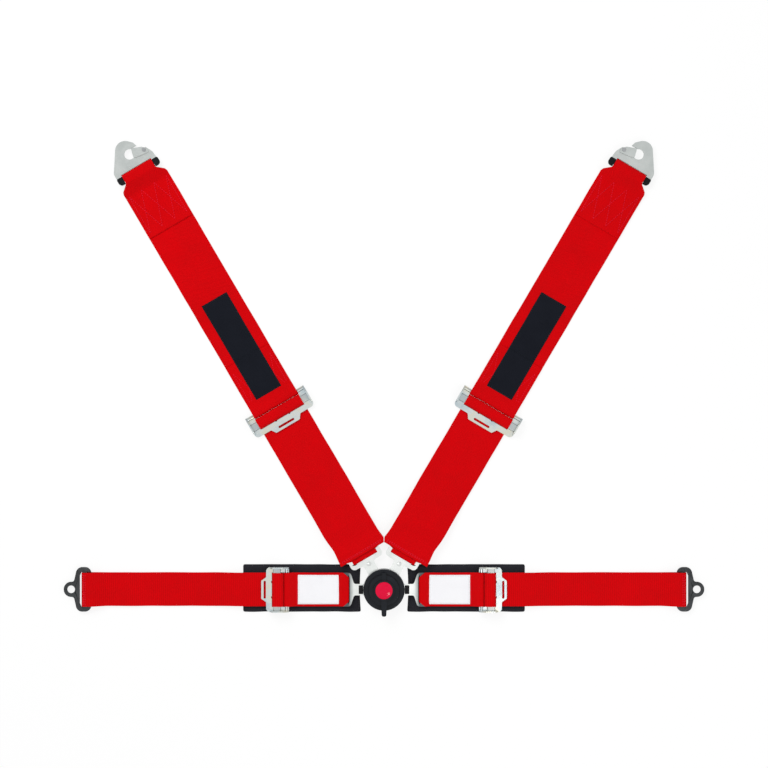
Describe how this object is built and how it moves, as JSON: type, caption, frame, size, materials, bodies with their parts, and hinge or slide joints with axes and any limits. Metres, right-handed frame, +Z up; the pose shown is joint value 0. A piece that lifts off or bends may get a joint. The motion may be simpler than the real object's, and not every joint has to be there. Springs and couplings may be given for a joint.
{
  "type": "racing harness",
  "caption": "Four-point racing harness lying flat: rotary cam buckle, lap straps with bolt brackets and pads, and shoulder straps with adjusters and snap hooks.",
  "frame": {"origin": "centre of the buckle's back face, on the surface the harness lies on", "axes": "+X along the right-hand lap strap, +Y from the buckle towards the shoulder hooks, +Z up out of the buckle's knob"},
  "size_m": [0.9554, 0.7072, 0.0254],
  "materials": {
    "webbing": "woven polyester, red",
    "pad_fabric": "woven nylon over foam, black",
    "tongue_steel": "satin nickel",
    "adjuster_zinc": "bright zinc plate",
    "lock_bar_zinc": "bright zinc plate, knurled",
    "hook_steel": "bright zinc plate",
    "gate_steel": "bright zinc plate",
    "guard_plastic": "moulded, black",
    "rivet_steel": "plain steel",
    "spring_steel": "spring wire",
    "bracket_steel": "dark phosphate",
    "buckle_plastic": "moulded, black",
    "badge": "domed resin, crimson",
    "inner_alloy": "machined",
    "label_dark": "woven, black, bare",
    "label_light": "woven, white, bare"
  },
  "bodies": {
    "buckle": {"back_cover": "buckle_plastic", "base_plate": "inner_alloy", "housing": "buckle_plastic", "base_screws": "rivet_steel", "fixed_tongue_rivet": "rivet_steel", "centre_post": "rivet_steel", "pin_springs": "spring_steel", "return_spring": "spring_steel", "left_lap_tongue": "tongue_steel", "left_lap_neck_insert": "guard_plastic", "left_lap_inner_webbing": "webbing", "left_lap_label": "label_light", "left_lap_outer_webbing": "webbing", "left_lap_pad": "pad_fabric"},
    "knob": {"release_knob": "buckle_plastic", "knob_badge": "badge", "release_cam": "inner_alloy"},
    "pins": {"locking_pins": "rivet_steel"},
    "right_shoulder_strap": {"right_shoulder_tongue": "tongue_steel", "right_shoulder_lower_webbing": "webbing", "right_shoulder_upper_webbing": "webbing", "right_shoulder_label": "label_dark"},
    "right_shoulder_adjuster": {"right_shoulder_adjuster_frame": "adjuster_zinc", "right_shoulder_webbing_wrap": "webbing"},
    "right_shoulder_lock": {"right_shoulder_lock_bar": "lock_bar_zinc"},
    "right_hook": {"right_shoulder_hook": "hook_steel", "right_shoulder_hook_guard": "guard_plastic", "right_shoulder_gate_rivet": "rivet_steel", "right_shoulder_gate_spring": "spring_steel"},
    "right_gate": {"right_shoulder_hook_gate": "gate_steel"},
    "left_shoulder_strap": {"left_shoulder_tongue": "tongue_steel", "left_shoulder_lower_webbing": "webbing", "left_shoulder_upper_webbing": "webbing", "left_shoulder_label": "label_dark"},
    "left_shoulder_adjuster": {"left_shoulder_adjuster_frame": "adjuster_zinc", "left_shoulder_webbing_wrap": "webbing"},
    "left_shoulder_lock": {"left_shoulder_lock_bar": "lock_bar_zinc"},
    "left_hook": {"left_shoulder_hook": "hook_steel", "left_shoulder_hook_guard": "guard_plastic", "left_shoulder_gate_rivet": "rivet_steel", "left_shoulder_gate_spring": "spring_steel"},
    "left_gate": {"left_shoulder_hook_gate": "gate_steel"},
    "right_lap_strap": {"right_lap_tongue": "tongue_steel", "right_lap_neck_insert": "guard_plastic", "right_lap_inner_webbing": "webbing", "right_lap_label": "label_light", "right_lap_outer_webbing": "webbing", "right_lap_pad": "pad_fabric"},
    "right_lap_adjuster": {"right_lap_adjuster_frame": "adjuster_zinc", "right_lap_webbing_wrap": "webbing"},
    "right_lap_lock": {"right_lap_lock_bar": "lock_bar_zinc"},
    "right_bracket": {"right_lap_bracket": "bracket_steel"},
    "left_lap_adjuster": {"left_lap_adjuster_frame": "adjuster_zinc", "left_lap_webbing_wrap": "webbing"},
    "left_lap_lock": {"left_lap_lock_bar": "lock_bar_zinc"},
    "left_bracket": {"left_lap_bracket": "bracket_steel"}
  },
  "joints": [
    {"name": "knob_turn", "type": "hinge", "parent": "buckle", "child": "knob", "pos_m": [0, 0, 0.02], "axis": [0, 0, 1], "range_deg": [0, 45], "stiffness_Nm_per_rad": 0.3},
    {"name": "pins_lift", "type": "slide", "parent": "buckle", "child": "pins", "axis": [0, 0, 1], "range_m": [0, 0.0009], "deforming": ["pin_springs"]},
    {"name": "right_shoulder_release", "type": "slide", "parent": "buckle", "child": "right_shoulder_strap", "axis": [0.506, 0.8625, 0], "range_m": [0, 0.03]},
    {"name": "right_shoulder_adjuster_tilt", "type": "hinge", "parent": "right_shoulder_strap", "child": "right_shoulder_adjuster", "pos_m": [0.16203, 0.27618, 0.0042], "axis": [-0.8625, 0.506, 0], "range_deg": [0, 20]},
    {"name": "right_shoulder_lock_slide", "type": "slide", "parent": "right_shoulder_adjuster", "child": "right_shoulder_lock", "axis": [0.506, 0.8625, 0], "range_m": [0, 0.002]},
    {"name": "right_hook_swivel", "type": "hinge", "parent": "right_shoulder_strap", "child": "right_hook", "pos_m": [0.36655, 0.62476, 0.00625], "axis": [0.8625, -0.506, 0], "range_deg": [0, 45]},
    {"name": "right_gate_swing", "type": "hinge", "parent": "right_hook", "child": "right_gate", "pos_m": [0.35769, 0.65552, 0.00625], "axis": [0, 0, -1], "range_deg": [0, 25], "stiffness_Nm_per_rad": 0.05},
    {"name": "left_shoulder_release", "type": "slide", "parent": "buckle", "child": "left_shoulder_strap", "axis": [-0.506, 0.8625, 0], "range_m": [0, 0.03]},
    {"name": "left_shoulder_adjuster_tilt", "type": "hinge", "parent": "left_shoulder_strap", "child": "left_shoulder_adjuster", "pos_m": [-0.16203, 0.27618, 0.0042], "axis": [-0.8625, -0.506, 0], "range_deg": [0, 20]},
    {"name": "left_shoulder_lock_slide", "type": "slide", "parent": "left_shoulder_adjuster", "child": "left_shoulder_lock", "axis": [-0.506, 0.8625, 0], "range_m": [0, 0.002]},
    {"name": "left_hook_swivel", "type": "hinge", "parent": "left_shoulder_strap", "child": "left_hook", "pos_m": [-0.36655, 0.62476, 0.00625], "axis": [0.8625, 0.506, 0], "range_deg": [0, 45]},
    {"name": "left_gate_swing", "type": "hinge", "parent": "left_hook", "child": "left_gate", "pos_m": [-0.35769, 0.65552, 0.00625], "axis": [0, 0, 1], "range_deg": [0, 25], "stiffness_Nm_per_rad": 0.05},
    {"name": "right_lap_release", "type": "slide", "parent": "buckle", "child": "right_lap_strap", "axis": [1, 0, 0], "range_m": [0, 0.03]},
    {"name": "right_lap_adjuster_tilt", "type": "hinge", "parent": "right_lap_strap", "child": "right_lap_adjuster", "pos_m": [0.1451, 0, 0.0095], "axis": [0, -1, 0], "range_deg": [0, 20]},
    {"name": "right_lap_lock_slide", "type": "slide", "parent": "right_lap_adjuster", "child": "right_lap_lock", "axis": [-1, 0, 0], "range_m": [0, 0.002]},
    {"name": "right_bracket_swivel", "type": "hinge", "parent": "right_lap_strap", "child": "right_bracket", "pos_m": [0.44615, 0, 0.00505], "axis": [0, -1, 0], "range_deg": [0, 45]},
    {"name": "left_lap_adjuster_tilt", "type": "hinge", "parent": "buckle", "child": "left_lap_adjuster", "pos_m": [-0.1451, 0, 0.0095], "axis": [0, 1, 0], "range_deg": [0, 20]},
    {"name": "left_lap_lock_slide", "type": "slide", "parent": "left_lap_adjuster", "child": "left_lap_lock", "axis": [1, 0, 0], "range_m": [0, 0.002]},
    {"name": "left_bracket_swivel", "type": "hinge", "parent": "buckle", "child": "left_bracket", "pos_m": [-0.44615, 0, 0.00505], "axis": [0, 1, 0], "range_deg": [0, 45]}
  ],
  "couplings": [
    {"joint": "pins_lift", "follows": "knob_turn", "m_per_rad": 0.001145}
  ]
}
